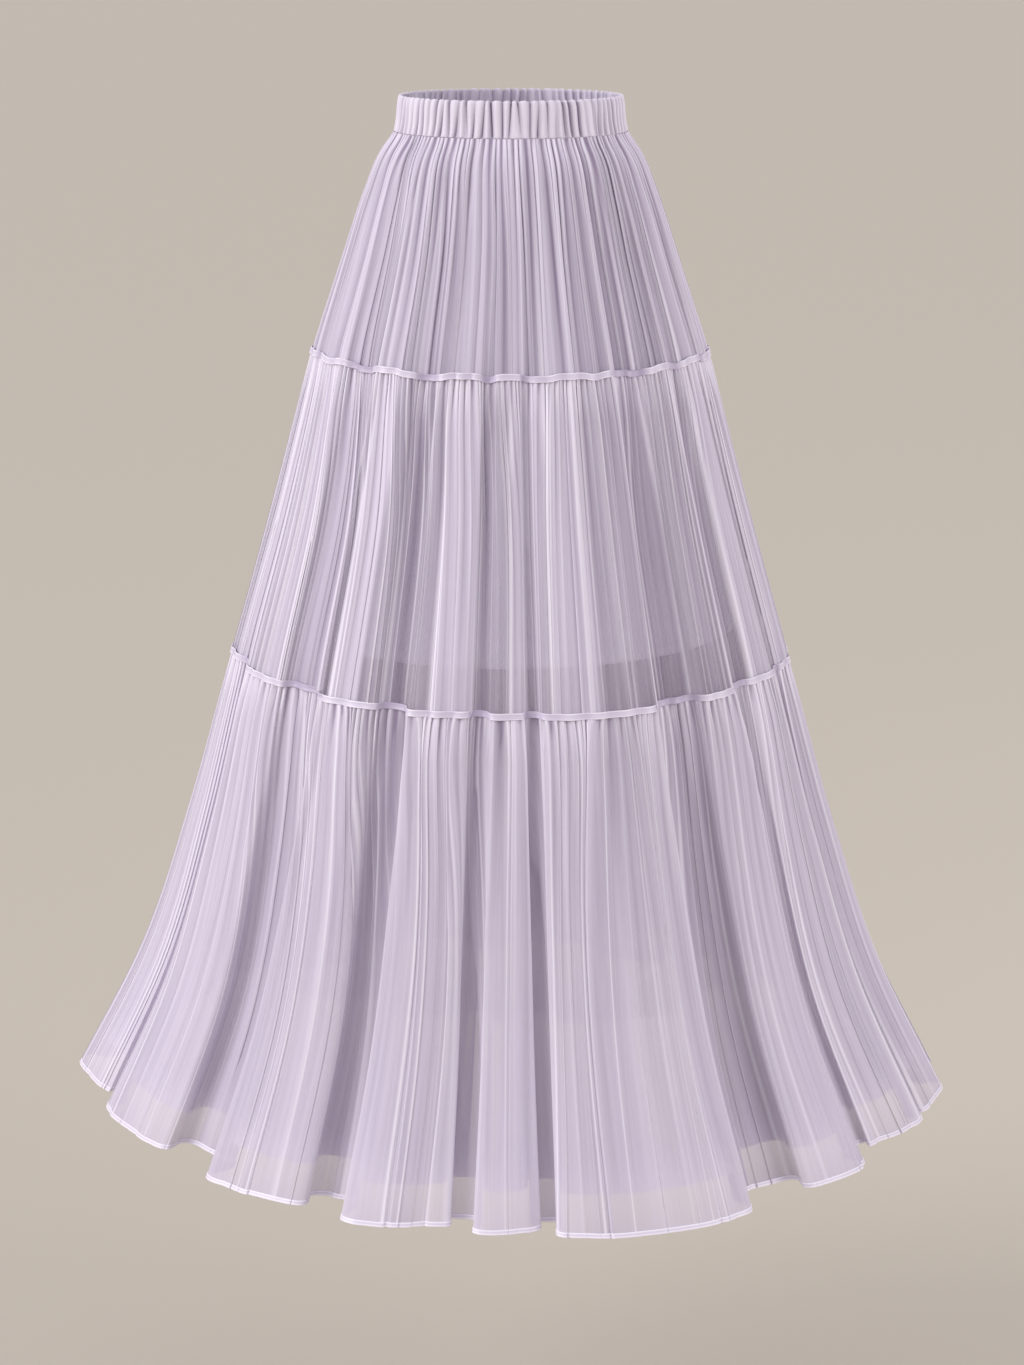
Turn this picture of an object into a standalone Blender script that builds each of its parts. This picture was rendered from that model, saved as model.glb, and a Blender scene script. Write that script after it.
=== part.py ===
"""A three-tier gathered tulle skirt, worn shape, standing open at the waist and the hem.

Metres, +Z up, front towards -Y. The origin is the centre of the waistband, half way down it.
Every piece is a flat sheet of cloth, rolled into a tube, gathered, and given the wall of its cloth.
"""
import math
from collections import namedtuple

import bmesh
import bpy

# Cloth and seams
CLOTH_WALL = 0.0010
BAND_WALL = 0.0030
SEAM_GAP = 0.0003
UNDER_SEAM_GAP = 0.0010
TRIM_WALL = 0.0010
TRIM_GAP = 0.0005

# Heights, measured down from the top edge of the waistband
WAISTBAND_HEIGHT = 0.0344
SHOULDER_1 = 0.0530
HIP_LINE = 0.1480
SEAM_1 = 0.2457
SHOULDER_2 = 0.2700
LINING_HEM = 0.5110
SEAM_2 = 0.5425
SHOULDER_3 = 0.5700
KNEE_LINE = 0.7000
MID_LAYER_HEM = 0.8150
CALF_LINE = 0.8500
LONG_LAYER_HEM = 0.9540
HEM = 0.9840
RIBBON_WIDTH = 0.0062
BINDING_WIDTH = 0.0050

# Folds round the skirt, in degrees where they are spreads
GATHER_SPREAD = 11.25
LONG_LAYER_WIDER = 0.8
MID_LAYER_WIDER = 1.4
WAISTBAND_GATHERS = 72
POINTS_PER_GATHER = 2
DIP_EVENNESS = 0.82
DIP_RHYTHM = 2.4

# The outermost line of the skirt: a row for each height
Line = namedtuple("Line", "drop front_extra half_width half_depth flutes")
SKIRT_LINE = (
    Line(0.0000, 0.0000, 0.1066, 0.0853, 0.00),
    Line(WAISTBAND_HEIGHT, 0.0004, 0.1124, 0.0899, 0.00),
    Line(SHOULDER_1, 0.0006, 0.1253, 0.1015, 0.02),
    Line(HIP_LINE, 0.0018, 0.1614, 0.1332, 0.08),
    Line(SEAM_1, 0.0033, 0.1933, 0.1624, 0.16),
    Line(SHOULDER_2, 0.0034, 0.2003, 0.1690, 0.20),
    Line(SEAM_2, 0.0039, 0.2770, 0.2440, 0.34),
    Line(SHOULDER_3, 0.0040, 0.2850, 0.2520, 0.38),
    Line(KNEE_LINE, 0.0041, 0.3232, 0.2893, 0.57),
    Line(CALF_LINE, 0.0043, 0.3757, 0.3410, 0.80),
    Line(HEM, 0.0046, 0.4433, 0.4065, 1.00),
)

# The big folds, or flutes, stand out at the hem as broad bells with a recess between two of them.
# Each row is a recess: its middle in degrees from the centre front towards +X, half its width in
# degrees, and at the hem how far it is drawn in, how far in the bell before it ends, how far in the
# bell after it starts, and how far out that bell is crowned half way
Recess = namedtuple("Recess", "middle half_width depth before after crown")
RECESSES = (
    Recess(-97.0, 4.0, 0.036, 0.004, 0.000, 0.000),
    Recess(-76.5, 2.8, 0.042, 0.030, 0.020, 0.000),
    Recess(-49.1, 5.8, 0.063, 0.031, 0.020, 0.003),
    Recess(-24.3, 3.2, 0.051, 0.022, 0.002, 0.004),
    Recess(-6.1, 1.9, 0.036, 0.021, 0.000, 0.003),
    Recess(4.3, 1.5, 0.033, 0.014, -0.004, 0.011),
    Recess(35.3, 5.0, 0.038, -0.004, 0.007, 0.003),
    Recess(54.3, 2.9, 0.038, 0.008, 0.030, 0.002),
    Recess(71.0, 1.6, 0.026, 0.007, 0.012, 0.002),
    Recess(86.0, 3.0, 0.036, 0.002, 0.010, 0.004),
    Recess(112.0, 4.6, 0.050, 0.022, 0.004, 0.004),
    Recess(134.0, 3.2, 0.040, 0.018, 0.000, 0.006),
    Recess(160.0, 5.0, 0.056, 0.024, 0.010, 0.004),
    Recess(184.0, 2.6, 0.038, 0.012, -0.004, 0.008),
    Recess(210.0, 4.2, 0.046, 0.004, 0.016, 0.006),
    Recess(236.0, 3.4, 0.038, 0.014, 0.008, 0.003),
)

# The cloth turns sharply from a recess to the front of a flute: a row for each end of the turn,
# with its place in degrees from the recess's edge and its share of the way in
Turn = namedtuple("Turn", "aside share")
TURNS = (
    Turn(-0.65, 0.9),
    Turn(0.65, 0.1),
)

# A column of cloth, from waist to hem: its angle in degrees, how far it is drawn in at the hem,
# and how much of a gather's dip it takes
Column = namedtuple("Column", "angle drawn_in dip")

# A row of each piece of cloth: how far down it is, how far inside the outermost line,
# how deep its gathers dip, and how much of the flutes it follows
Row = namedtuple("Row", "drop inset dip flutes")
WAISTBAND = (
    Row(0.0, 0.0, 0.0018, 0.0),
    Row(WAISTBAND_HEIGHT, 0.0, 0.0018, 0.0),
)
TIER_1 = (
    Row(WAISTBAND_HEIGHT + SEAM_GAP, 0.0, 0.0006, 1.0),
    Row(SHOULDER_1, 0.0, 0.0040, 1.0),
    Row(HIP_LINE, 0.0, 0.0050, 1.0),
    Row(SEAM_1, 0.0, 0.0028, 1.0),
)
TIER_2 = (
    Row(SEAM_1 + SEAM_GAP, 0.0, 0.0028, 1.0),
    Row(SHOULDER_2, 0.0, 0.0058, 1.0),
    Row(SEAM_2, 0.0, 0.0040, 1.0),
)
TIER_3 = (
    Row(SEAM_2 + SEAM_GAP, 0.0, 0.0040, 1.0),
    Row(SHOULDER_3, 0.0, 0.0075, 1.0),
    Row(KNEE_LINE, 0.0, 0.0080, 1.0),
    Row(CALF_LINE, 0.0, 0.0080, 1.0),
    Row(HEM, 0.0, 0.0080, 1.0),
)
UNDERSKIRT_LONG = (
    Row(WAISTBAND_HEIGHT + UNDER_SEAM_GAP, 0.0024, 0.0, 1.0),
    Row(SHOULDER_1, 0.0080, 0.0, 1.0),
    Row(SEAM_1, 0.0085, 0.0, 1.0),
    Row(SEAM_2, 0.0100, 0.0, 1.0),
    Row(KNEE_LINE, 0.0115, 0.0, 1.0),
    Row(CALF_LINE, 0.0115, 0.0, 1.0),
    Row(LONG_LAYER_HEM, 0.0115, 0.0, 1.0),
)
UNDERSKIRT_MID = (
    Row(WAISTBAND_HEIGHT + UNDER_SEAM_GAP, 0.0040, 0.0, 1.0),
    Row(SHOULDER_1, 0.0110, 0.0, 1.0),
    Row(SEAM_1, 0.0120, 0.0, 1.0),
    Row(SEAM_2, 0.0135, 0.0, 1.0),
    Row(KNEE_LINE, 0.0155, 0.0, 1.0),
    Row(MID_LAYER_HEM, 0.0160, 0.0, 1.0),
)
LINING = (
    Row(WAISTBAND_HEIGHT + UNDER_SEAM_GAP, 0.0056, 0.0, 0.0),
    Row(SHOULDER_1, 0.0150, 0.0, 0.0),
    Row(SEAM_1, 0.0260, 0.0, 0.0),
    Row(LINING_HEM, 0.0460, 0.0, 0.0),
)
LINING_COLUMNS = 48

# Colours as they look in daylight, in linear light
Cloth = namedtuple("Cloth", "red green blue roughness")
TULLE = Cloth(0.62, 0.55, 0.65, 0.80)
UNDER_TULLE = Cloth(0.56, 0.49, 0.60, 0.85)
BAND_CLOTH = Cloth(0.64, 0.57, 0.68, 0.70)
SATIN = Cloth(0.78, 0.70, 0.82, 0.35)
LINING_CLOTH = Cloth(0.66, 0.60, 0.70, 0.55)


def between(low, high, share):
    return low + (high - low) * share


def line_at(drop):
    """The outermost line at a height, read between the rows of SKIRT_LINE."""
    for upper, lower in zip(SKIRT_LINE, SKIRT_LINE[1:]):
        if drop <= lower.drop:
            break
    share = (drop - upper.drop) / (lower.drop - upper.drop)
    return Line(*(between(high, low, share) for high, low in zip(upper, lower)))


def row_at(rows, drop):
    """A row of a piece at any height, read between the rows that the piece has."""
    for upper, lower in zip(rows, rows[1:]):
        if drop <= lower.drop:
            break
    share = (drop - upper.drop) / (lower.drop - upper.drop)
    return Row(*(between(high, low, share) for high, low in zip(upper, lower)))


def dip_of(number):
    """How much of its full depth a gather dips: no two dip quite alike."""
    return between(1.0, math.sin(DIP_RHYTHM * number), 1 - DIP_EVENNESS)


def turn_columns(recess, wider, side):
    """The two columns where the cloth turns out of a recess, on its side -1 or +1."""
    front = recess.before if side < 0 else recess.after
    return [
        Column(
            recess.middle + side * (recess.half_width + wider + turn.aside),
            between(front, recess.depth, turn.share),
            0.0,
        )
        for turn in TURNS
    ]


def fluted_columns(wider=0.0, gathered=True):
    """The columns of a fluted layer. Layers further in have wider recesses, to stay clear."""
    columns = []
    gather = 0
    for here, following in zip(RECESSES, RECESSES[1:] + RECESSES[:1]):
        if following.middle < here.middle:
            following = following._replace(middle=following.middle + 360)
        leaving = turn_columns(here, wider, 1)
        arriving = turn_columns(following, wider, -1)[::-1]
        gathers = round((following.middle - here.middle) / GATHER_SPREAD) if gathered else 0
        spaces = 2 * gathers + 2
        front = []
        for step in range(1, spaces):
            dips = step % 2 == 0
            gather += dips
            share = step / spaces
            angle = between(leaving[-1].angle, arriving[0].angle, share)
            drawn_in = between(here.after, following.before, share) - here.crown * math.sin(math.pi * share)
            front.append(Column(angle, drawn_in, dip_of(gather) if dips else 0.0))
        columns += [Column(here.middle, here.depth, 0.0), *leaving, *front, *arriving]
    return columns


def round_columns(count):
    """The columns of a layer with no flutes."""
    return [Column(360 * number / count, 0.0, 0.0) for number in range(count)]


def skirt_point(row, column):
    """A point of a skirt layer, on the ellipse of its height."""
    line = line_at(row.drop)
    angle = math.radians(column.angle)
    inward = row.inset + row.dip * column.dip + row.flutes * line.flutes * column.drawn_in
    down = row.drop + line.front_extra * math.cos(angle) ** 2
    x = (line.half_width - inward) * math.sin(angle)
    y = -(line.half_depth - inward) * math.cos(angle)
    return x, y, WAISTBAND_HEIGHT / 2 - down


def band_columns():
    """The columns of the waistband, whose gathers are even and fine."""
    count = WAISTBAND_GATHERS * POINTS_PER_GATHER
    return [
        Column(360 * number / count, 0.0, 0.0 if number % POINTS_PER_GATHER else dip_of(number))
        for number in range(count)
    ]


def rolled_cloth(columns, rows, place):
    """A flat grid of cloth rolled into a tube and sewn to itself: place(row, column) gives its points."""
    mesh = bmesh.new()
    bmesh.ops.create_grid(mesh, x_segments=columns, y_segments=rows - 1, size=0.5)
    for vertex in mesh.verts:
        column = round((vertex.co.x + 0.5) * columns)
        row = round((0.5 - vertex.co.y) * (rows - 1))
        vertex.co = place(row, column % columns)
    bmesh.ops.remove_doubles(mesh, verts=mesh.verts, dist=0.000001)
    bmesh.ops.triangulate(mesh, faces=mesh.faces, quad_method="FIXED")
    mesh.normal_update()
    return mesh


def finish(name, mesh, cloth, wall, side):
    """Makes the object, with the wall of its cloth on the side asked for: -1 inside, +1 outside."""
    data = bpy.data.meshes.new(name)
    mesh.to_mesh(data)
    mesh.free()
    data.shade_smooth()
    piece = bpy.data.objects.new(name, data)
    solidify = piece.modifiers.new("cloth", "SOLIDIFY")
    solidify.thickness = wall
    solidify.offset = side
    solidify.use_even_offset = True
    material = bpy.data.materials.new(name)
    material.use_nodes = True
    shader = material.node_tree.nodes["Principled BSDF"]
    shader.inputs["Base Color"].default_value = (cloth.red, cloth.green, cloth.blue, 1)
    shader.inputs["Roughness"].default_value = cloth.roughness
    shader.inputs["Metallic"].default_value = 0.0
    data.materials.append(material)
    bpy.data.collections["tiered_skirt"].objects.link(piece)
    return piece


def skirt_layer(name, rows, columns, cloth, wall=CLOTH_WALL):
    """One piece of cloth, from its rows and its columns."""
    mesh = rolled_cloth(len(columns), len(rows), lambda row, column: skirt_point(rows[row], columns[column]))
    return finish(name, mesh, cloth, wall, -1)


def laid_on(mesh, gap):
    """Moves a strip out from the cloth that it was measured on."""
    for vertex in mesh.verts:
        vertex.co += vertex.normal * gap * vertex.calc_shell_factor()
    return mesh


def trim(name, edges, columns):
    """A satin strip sewn flat on the cloth, between its upper and its lower edge."""
    mesh = rolled_cloth(len(columns), 2, lambda row, column: skirt_point(edges[row], columns[column]))
    return finish(name, laid_on(mesh, TRIM_GAP), SATIN, TRIM_WALL, 1)


def ribbon(name, upper_tier, lower_tier, seam, columns):
    """A ribbon over a seam. It bridges the gathers, so it skips the column of each dip."""
    edges = (
        row_at(upper_tier, seam - RIBBON_WIDTH / 2),
        row_at(lower_tier, seam + RIBBON_WIDTH / 2),
    )
    return trim(name, edges, [column for column in columns if not column.dip])


def main():
    for leftover in list(bpy.data.objects):
        bpy.data.objects.remove(leftover)
    collection = bpy.data.collections.new("tiered_skirt")
    bpy.context.scene.collection.children.link(collection)

    tier_columns = fluted_columns()
    skirt_layer("waistband", WAISTBAND, band_columns(), BAND_CLOTH, BAND_WALL)
    skirt_layer("tier_1", TIER_1, tier_columns, TULLE)
    ribbon("ribbon_1", TIER_1, TIER_2, SEAM_1, tier_columns)
    skirt_layer("tier_2", TIER_2, tier_columns, TULLE)
    ribbon("ribbon_2", TIER_2, TIER_3, SEAM_2, tier_columns)
    skirt_layer("tier_3", TIER_3, tier_columns, TULLE)
    trim("hem_binding", (row_at(TIER_3, HEM - BINDING_WIDTH), TIER_3[-1]), tier_columns)
    skirt_layer("underskirt_long", UNDERSKIRT_LONG, fluted_columns(LONG_LAYER_WIDER, False), UNDER_TULLE)
    skirt_layer("underskirt_mid", UNDERSKIRT_MID, fluted_columns(MID_LAYER_WIDER, False), UNDER_TULLE)
    skirt_layer("lining", LINING, round_columns(LINING_COLUMNS), LINING_CLOTH)


main()
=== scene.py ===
# %% [markdown]
# # A three-tier tulle skirt
# The skirt is ten pieces: a gathered waistband, three tiers of sheer tulle, two satin ribbons over the
# seams, a satin hem binding, a short opaque slip and two tulle underskirts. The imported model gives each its
# place as a plain solid. This lesson dresses every solid as the cloth that the real skirt is sewn from.

# %% Load the frame
import math
from types import SimpleNamespace

import bpy
import numpy as np
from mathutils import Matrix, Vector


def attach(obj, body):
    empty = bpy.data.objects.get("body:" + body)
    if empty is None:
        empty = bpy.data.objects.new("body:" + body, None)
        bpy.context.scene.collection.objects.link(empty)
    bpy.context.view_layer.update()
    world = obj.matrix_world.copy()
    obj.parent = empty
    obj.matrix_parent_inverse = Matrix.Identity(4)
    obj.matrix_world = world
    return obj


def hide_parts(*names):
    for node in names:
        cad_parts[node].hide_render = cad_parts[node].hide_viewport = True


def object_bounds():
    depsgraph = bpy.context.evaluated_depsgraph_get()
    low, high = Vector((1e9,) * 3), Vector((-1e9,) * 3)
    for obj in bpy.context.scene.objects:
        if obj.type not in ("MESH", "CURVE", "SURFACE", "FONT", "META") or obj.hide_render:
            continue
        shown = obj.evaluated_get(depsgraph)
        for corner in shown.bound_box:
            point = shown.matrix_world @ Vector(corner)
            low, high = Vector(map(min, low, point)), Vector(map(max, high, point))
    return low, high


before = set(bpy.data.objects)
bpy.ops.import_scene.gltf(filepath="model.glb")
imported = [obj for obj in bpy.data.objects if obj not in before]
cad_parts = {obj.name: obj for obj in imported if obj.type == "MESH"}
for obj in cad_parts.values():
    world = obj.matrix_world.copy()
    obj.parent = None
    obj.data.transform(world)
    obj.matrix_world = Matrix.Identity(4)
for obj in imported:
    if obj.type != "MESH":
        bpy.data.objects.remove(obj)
cad_low, cad_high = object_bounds()
WAIST_TOP = cad_high.z

# %% [markdown]
# ## Camera
# The photo looks slightly down on the skirt, from a little above the waist. The lens and place below were
# worked out from the ellipses of the waist, the ribbons and the hem, which flatten as they come nearer to
# eye level.

# %% Camera
PHOTO_LONG_SIDE = 1365
FOCAL_PIXELS = 3138
CAMERA_DISTANCE = 3.021
CAMERA_ABOVE_WAIST = 0.217
CAMERA_PITCH_DOWN = 14.73
CAMERA_ASIDE = 0.001

bpy.ops.object.select_all(action="DESELECT")
bpy.ops.object.camera_add(
    location=(CAMERA_ASIDE, -CAMERA_DISTANCE, WAIST_TOP + CAMERA_ABOVE_WAIST),
    rotation=(math.radians(90 - CAMERA_PITCH_DOWN), 0, 0),
)
camera = bpy.context.object
camera.data.sensor_width = 36
camera.data.lens = FOCAL_PIXELS / PHOTO_LONG_SIDE * camera.data.sensor_width
camera.data.clip_end = 200
bpy.context.scene.camera = camera
print("lens", round(camera.data.lens, 1), "mm")

# %% [markdown]
# ## Floor and light
# The skirt hangs clear of the floor. A very large pale disc serves as floor and backdrop in one. A soft sun
# from the left models the folds and lights the whole disc alike, a weak wide light fills the right, and an
# even pale sky keeps the shadows open.

# %% Floor
FLOOR_BELOW_HEM = 0.45
FLOOR_RADIUS = 90
FLOOR_COLOUR = (0.59, 0.53, 0.465, 1)


def plain_material(name, colour, roughness):
    """A new material, with its Principled shader."""
    material = bpy.data.materials.new(name)
    material.use_nodes = True
    shader = material.node_tree.nodes["Principled BSDF"]
    shader.inputs["Base Color"].default_value = colour
    shader.inputs["Roughness"].default_value = roughness
    return material, shader


bpy.ops.object.select_all(action="DESELECT")
bpy.ops.mesh.primitive_circle_add(
    vertices=96, radius=FLOOR_RADIUS, fill_type="NGON", location=(0, 0, cad_low.z - FLOOR_BELOW_HEM)
)
floor = bpy.context.object
floor.name = "floor"
floor_material, floor_shader = plain_material("pale_floor", FLOOR_COLOUR, 0.9)
floor_shader.inputs["Specular IOR Level"].default_value = 0.1
floor.data.materials.append(floor_material)
print("floor at", round(floor.location.z, 3))

# %% Light
KEY_PLACE = (-4.7, -1.7, 1.9)
FILL_PLACE = (3.5, -1.5, 0.5)
LIGHT_AIM = (0, 0, -0.45)


def soft_light(kind, name, place, power, colour):
    """A light that looks at the middle of the skirt."""
    bpy.ops.object.light_add(type=kind, location=place)
    light = bpy.context.object
    light.name = name
    aim = [to - at for to, at in zip(LIGHT_AIM, place)]
    flat = math.hypot(aim[0], aim[1])
    light.rotation_euler = (math.atan2(flat, -aim[2]), 0, math.atan2(aim[1], aim[0]) - math.pi / 2)
    light.data.energy = power
    light.data.color = colour
    return light


key_light = soft_light("SUN", "key_light", KEY_PLACE, 2.2, (1.0, 0.985, 0.97))
key_light.data.angle = math.radians(45)
fill_light = soft_light("AREA", "fill_light", FILL_PLACE, 60, (1.0, 0.97, 0.95))
fill_light.data.size = 2.4

world = bpy.data.worlds.new("studio")
world.use_nodes = True
world.node_tree.nodes["Background"].inputs["Color"].default_value = (0.82, 0.82, 0.84, 1)
world.node_tree.nodes["Background"].inputs["Strength"].default_value = 0.75
scene = bpy.context.scene
scene.world = world
scene.view_settings.view_transform = "Standard"
scene.cycles.transparent_max_bounces = 40
scene.cycles.max_bounces = 8
scene.cycles.diffuse_bounces = 4
print("a soft sun, a fill and a pale sky")

# %% [markdown]
# ## The line of the skirt
# A pattern cutter describes a skirt by how far it stands out at each height. The table gives the outermost
# cloth: drop from the top of the waistband, how much lower the front hangs than the sides, half the width,
# half the depth, and how far the big folds, or flutes, have opened. A smooth curve runs through the rows.

# %% The line
WAISTBAND_HEIGHT = 0.0344
SEAM_1 = 0.2457
SEAM_2 = 0.5425
HEM = 0.9840
LINING_HEM = 0.5110
MID_LAYER_HEM = 0.8150
LONG_LAYER_HEM = 0.9540

# drop, front_extra, half_width, half_depth, flutes
SKIRT_LINE = np.array((
    (0.0000, 0.0000, 0.1066, 0.0853, 0.00),
    (WAISTBAND_HEIGHT, 0.0004, 0.1124, 0.0899, 0.00),
    (0.0530, 0.0006, 0.1253, 0.1015, 0.02),
    (0.0900, 0.0011, 0.1416, 0.1152, 0.05),
    (0.1480, 0.0018, 0.1618, 0.1334, 0.08),
    (SEAM_1, 0.0033, 0.1936, 0.1626, 0.16),
    (0.2700, 0.0034, 0.2006, 0.1693, 0.20),
    (0.3925, 0.0037, 0.2343, 0.2018, 0.29),
    (SEAM_2, 0.0039, 0.2773, 0.2443, 0.34),
    (0.5700, 0.0040, 0.2853, 0.2523, 0.38),
    (0.7000, 0.0041, 0.3232, 0.2893, 0.57),
    (0.8500, 0.0043, 0.3750, 0.3403, 0.80),
    (HEM, 0.0046, 0.4436, 0.4068, 1.00),
))


def smooth_curve(x, known_x, known_y):
    """Reads a smooth curve through the known points."""
    slope = np.gradient(known_y, known_x)
    start = np.clip(np.searchsorted(known_x, x) - 1, 0, len(known_x) - 2)
    step = known_x[start + 1] - known_x[start]
    t = (x - known_x[start]) / step
    return (
        (2 * t**3 - 3 * t**2 + 1) * known_y[start]
        + (t**3 - 2 * t**2 + t) * step * slope[start]
        + (3 * t**2 - 2 * t**3) * known_y[start + 1]
        + (t**3 - t**2) * step * slope[start + 1]
    )


def line_at(drop):
    """front_extra, half_width, half_depth and flutes at each drop."""
    return [smooth_curve(drop, SKIRT_LINE[:, 0], SKIRT_LINE[:, column]) for column in range(1, 5)]


print("skirt", round(HEM * 1000), "mm from waist to hem")

# %% [markdown]
# ## Flutes, gathers and pleats
# Gathered cloth folds at three scales. Sixteen big flutes open towards the hem as broad bells, and between
# two bells the cloth turns sharply back into a recess. Each flute breaks into a few gathers that lie over
# to one side like loose pleats, and each gather into fine pleats. The table places the recesses. A point's
# place in a fold says how far in it lies and how far aside it swings.

# %% Flutes
# middle of the recess and half its width, in degrees from the centre front, then in metres at the hem: how
# far in the recess is drawn, how far in the bell before it ends and the one after it starts, and the crown of
# the one after
RECESSES = np.array((
    (-97.0, 3.0, 0.036, 0.004, -0.006, 0.004), (-76.5, 2.8, 0.042, 0.030, 0.020, 0.000),
    (-49.1, 5.8, 0.063, 0.031, 0.020, 0.003), (-24.3, 3.2, 0.051, 0.022, 0.002, 0.004),
    (-6.1, 1.9, 0.036, 0.021, 0.000, 0.003), (4.3, 1.5, 0.033, 0.014, -0.004, 0.011),
    (35.3, 5.0, 0.038, -0.004, 0.007, 0.003), (54.3, 2.9, 0.038, 0.008, 0.030, 0.002),
    (71.0, 1.6, 0.026, 0.007, 0.012, 0.002), (86.0, 3.0, 0.036, 0.002, 0.010, 0.004),
    (112.0, 4.6, 0.050, 0.022, 0.004, 0.004), (134.0, 3.2, 0.040, 0.018, 0.000, 0.006),
    (160.0, 5.0, 0.056, 0.024, 0.010, 0.004), (184.0, 2.6, 0.038, 0.012, -0.004, 0.008),
    (210.0, 4.2, 0.046, 0.004, 0.016, 0.006), (236.0, 3.4, 0.038, 0.014, 0.008, 0.003),
))
TURN_SPREAD = 2.2
TURN_OVERHANG = 1.3
SEAM_LIFT = 0.0020
SEAM_LIFT_REACH = 0.04
SEAM_BUMP = 0.0022
SEAM_BUMP_HALF_WIDTH = 5.0

# degrees from the centre front, where a ridge of the upper tier lifts the seam below it a little
SEAM_BUMPS = (
    -74, -56.5, -37.2, -13.2, 0, 16.4, 30.5, 49.5, 66, 84, 103, 121, 142, 160, 181, 199, 220, 238, 257,
)


def recess_wave(degrees, wider):
    """How far in the big folds draw the cloth at the hem, what share of a recess it is, and the swing."""
    middle, half_width, depth, before, after, crown = RECESSES.T
    next_middle = np.append(middle[1:], middle[0] + 360)
    degrees = (degrees - middle[0]) % 360 + middle[0]
    bell = np.searchsorted(middle, degrees, side="right") - 1
    start = (middle + half_width)[bell]
    end = (next_middle - np.roll(half_width, -1))[bell]
    along = np.clip((degrees - start) / (end - start), 0, 1)
    front = after[bell] + (np.roll(before, -1) - after)[bell] * along - crown[bell] * np.sin(np.pi * along)
    share, swing, depth_here = 0, 0, 0
    for number in range(len(RECESSES)):
        off = (degrees - middle[number] + 180) % 360 - 180
        turn = np.clip((np.abs(off) - half_width[number] - wider) / TURN_SPREAD, -1, 1)
        inside = (1 - turn) / 2
        inside = inside**2 * (3 - 2 * inside)
        share = share + inside
        depth_here = depth_here + depth[number] * inside
        swing = swing - np.sign(off) * TURN_OVERHANG * np.sin(np.pi * turn)
    share = np.clip(share, 0, 1)
    return front * (1 - share) + depth_here, share, swing


def ellipse_points(angle, drop, inward):
    """Points on the skirt's ellipse at each drop, drawn in by inward."""
    front_extra, half_width, half_depth, _ = line_at(drop)
    x = (half_width - inward) * np.sin(angle)
    y = -(half_depth - inward) * np.cos(angle)
    z = WAIST_TOP - drop - front_extra * np.cos(angle) ** 2
    return np.stack([x, y, z + 0 * x], axis=-1)


def fluted_points(degrees, drop, inset, wider=0.0):
    """The big form, before any gather, and how deep in a recess each point lies."""
    flutes = line_at(drop)[3]
    drawn_in, share, swing = recess_wave(degrees, wider)
    points = ellipse_points(np.radians(degrees + flutes * swing), drop, inset + flutes * drawn_in)
    near_seam = np.exp(-(((drop - SEAM_1) / SEAM_LIFT_REACH) ** 2))
    off = np.min([np.abs((degrees - bump + 180) % 360 - 180) for bump in SEAM_BUMPS], axis=0)
    bump = 1 / (1 + (off / SEAM_BUMP_HALF_WIDTH) ** 8)
    points[..., 2] += near_seam * (SEAM_LIFT * (1 - share) + SEAM_BUMP * bump)
    return points, share


print(len(RECESSES), "flutes")

# %% Gathers
GATHERS = 68
GATHER_UNEVENNESS = 0.22
CLOTH_STEPS = 3600
FOLD_SKEW = (1.1, 2.2)
FOLD_SWING = (0.3, 1.0)


def split_unevenly(edges, parts, unevenness, own_luck):
    """Splits each stretch between two edges into parts of slightly different width."""
    result = []
    for start, end in zip(edges, edges[1:]):
        inner = np.arange(1, parts) + own_luck.uniform(-unevenness, unevenness, parts - 1)
        result.extend([start, *(start + (end - start) * inner / parts)])
    return np.array([*result, edges[-1]])


def fold_wave(degrees, edges, own_luck, depths, roundness):
    """One row of folds: how far in each point lies, how far aside in degrees, and where the ridges are."""
    count = len(edges) - 1
    fold = np.clip(np.searchsorted(edges, degrees, side="right") - 1, 0, count - 1)
    width = edges[fold + 1] - edges[fold]
    share = np.clip((degrees - edges[fold]) / width, 0, 1)
    side = own_luck.choice((-1, 1), count)[fold]
    skew = own_luck.uniform(*FOLD_SKEW, count)[fold]
    skewed = np.where(side > 0, share**skew, 1 - (1 - share) ** skew)
    ridge = np.sin(np.pi * skewed) ** roundness
    depth = own_luck.uniform(*depths, count)
    depth = depth[fold] + (depth[(fold + 1) % count] - depth[fold]) * share
    aside = side * own_luck.uniform(*FOLD_SWING, count)[fold] * ridge * width
    return depth * (1 - ridge), aside, ridge


def outward_of(points):
    """Which way is out and which way is along, at each point of rings of points."""
    along = np.roll(points, -1, axis=1) - np.roll(points, 1, axis=1)
    along[..., 2] = 0
    along /= np.linalg.norm(along, axis=-1, keepdims=True)
    out = np.stack([along[..., 1], -along[..., 0], 0 * along[..., 0]], axis=-1)
    return out, along


def gather_edges(drop, own_luck):
    """Where the gathers lie, in degrees: spread by the length of cloth, which is greater in a recess."""
    degrees = RECESSES[0, 0] + 360 * np.arange(CLOTH_STEPS + 1) / CLOTH_STEPS
    ring, _ = fluted_points(degrees[None, :], np.array([[drop]]), 0.0)
    run = np.linalg.norm(np.diff(ring[0], axis=0), axis=-1)
    length = np.concatenate(([0], np.cumsum(run)))
    places = split_unevenly(np.array((0.0, length[-1])), GATHERS, GATHER_UNEVENNESS, own_luck)
    return np.interp(places, length, degrees)


print(GATHERS, "gathers round each tier")

# %% [markdown]
# ## Rolling a sheet
# Every layer starts as a flat grid, as the cloth did. The grid's columns are the cloth's width and its rows
# the length. Each point is then moved to its place on the folded skirt, and the two side edges are welded,
# which is the sewn seam. The grid's own UV map stays on the cloth, so the threads follow the folds.

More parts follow.
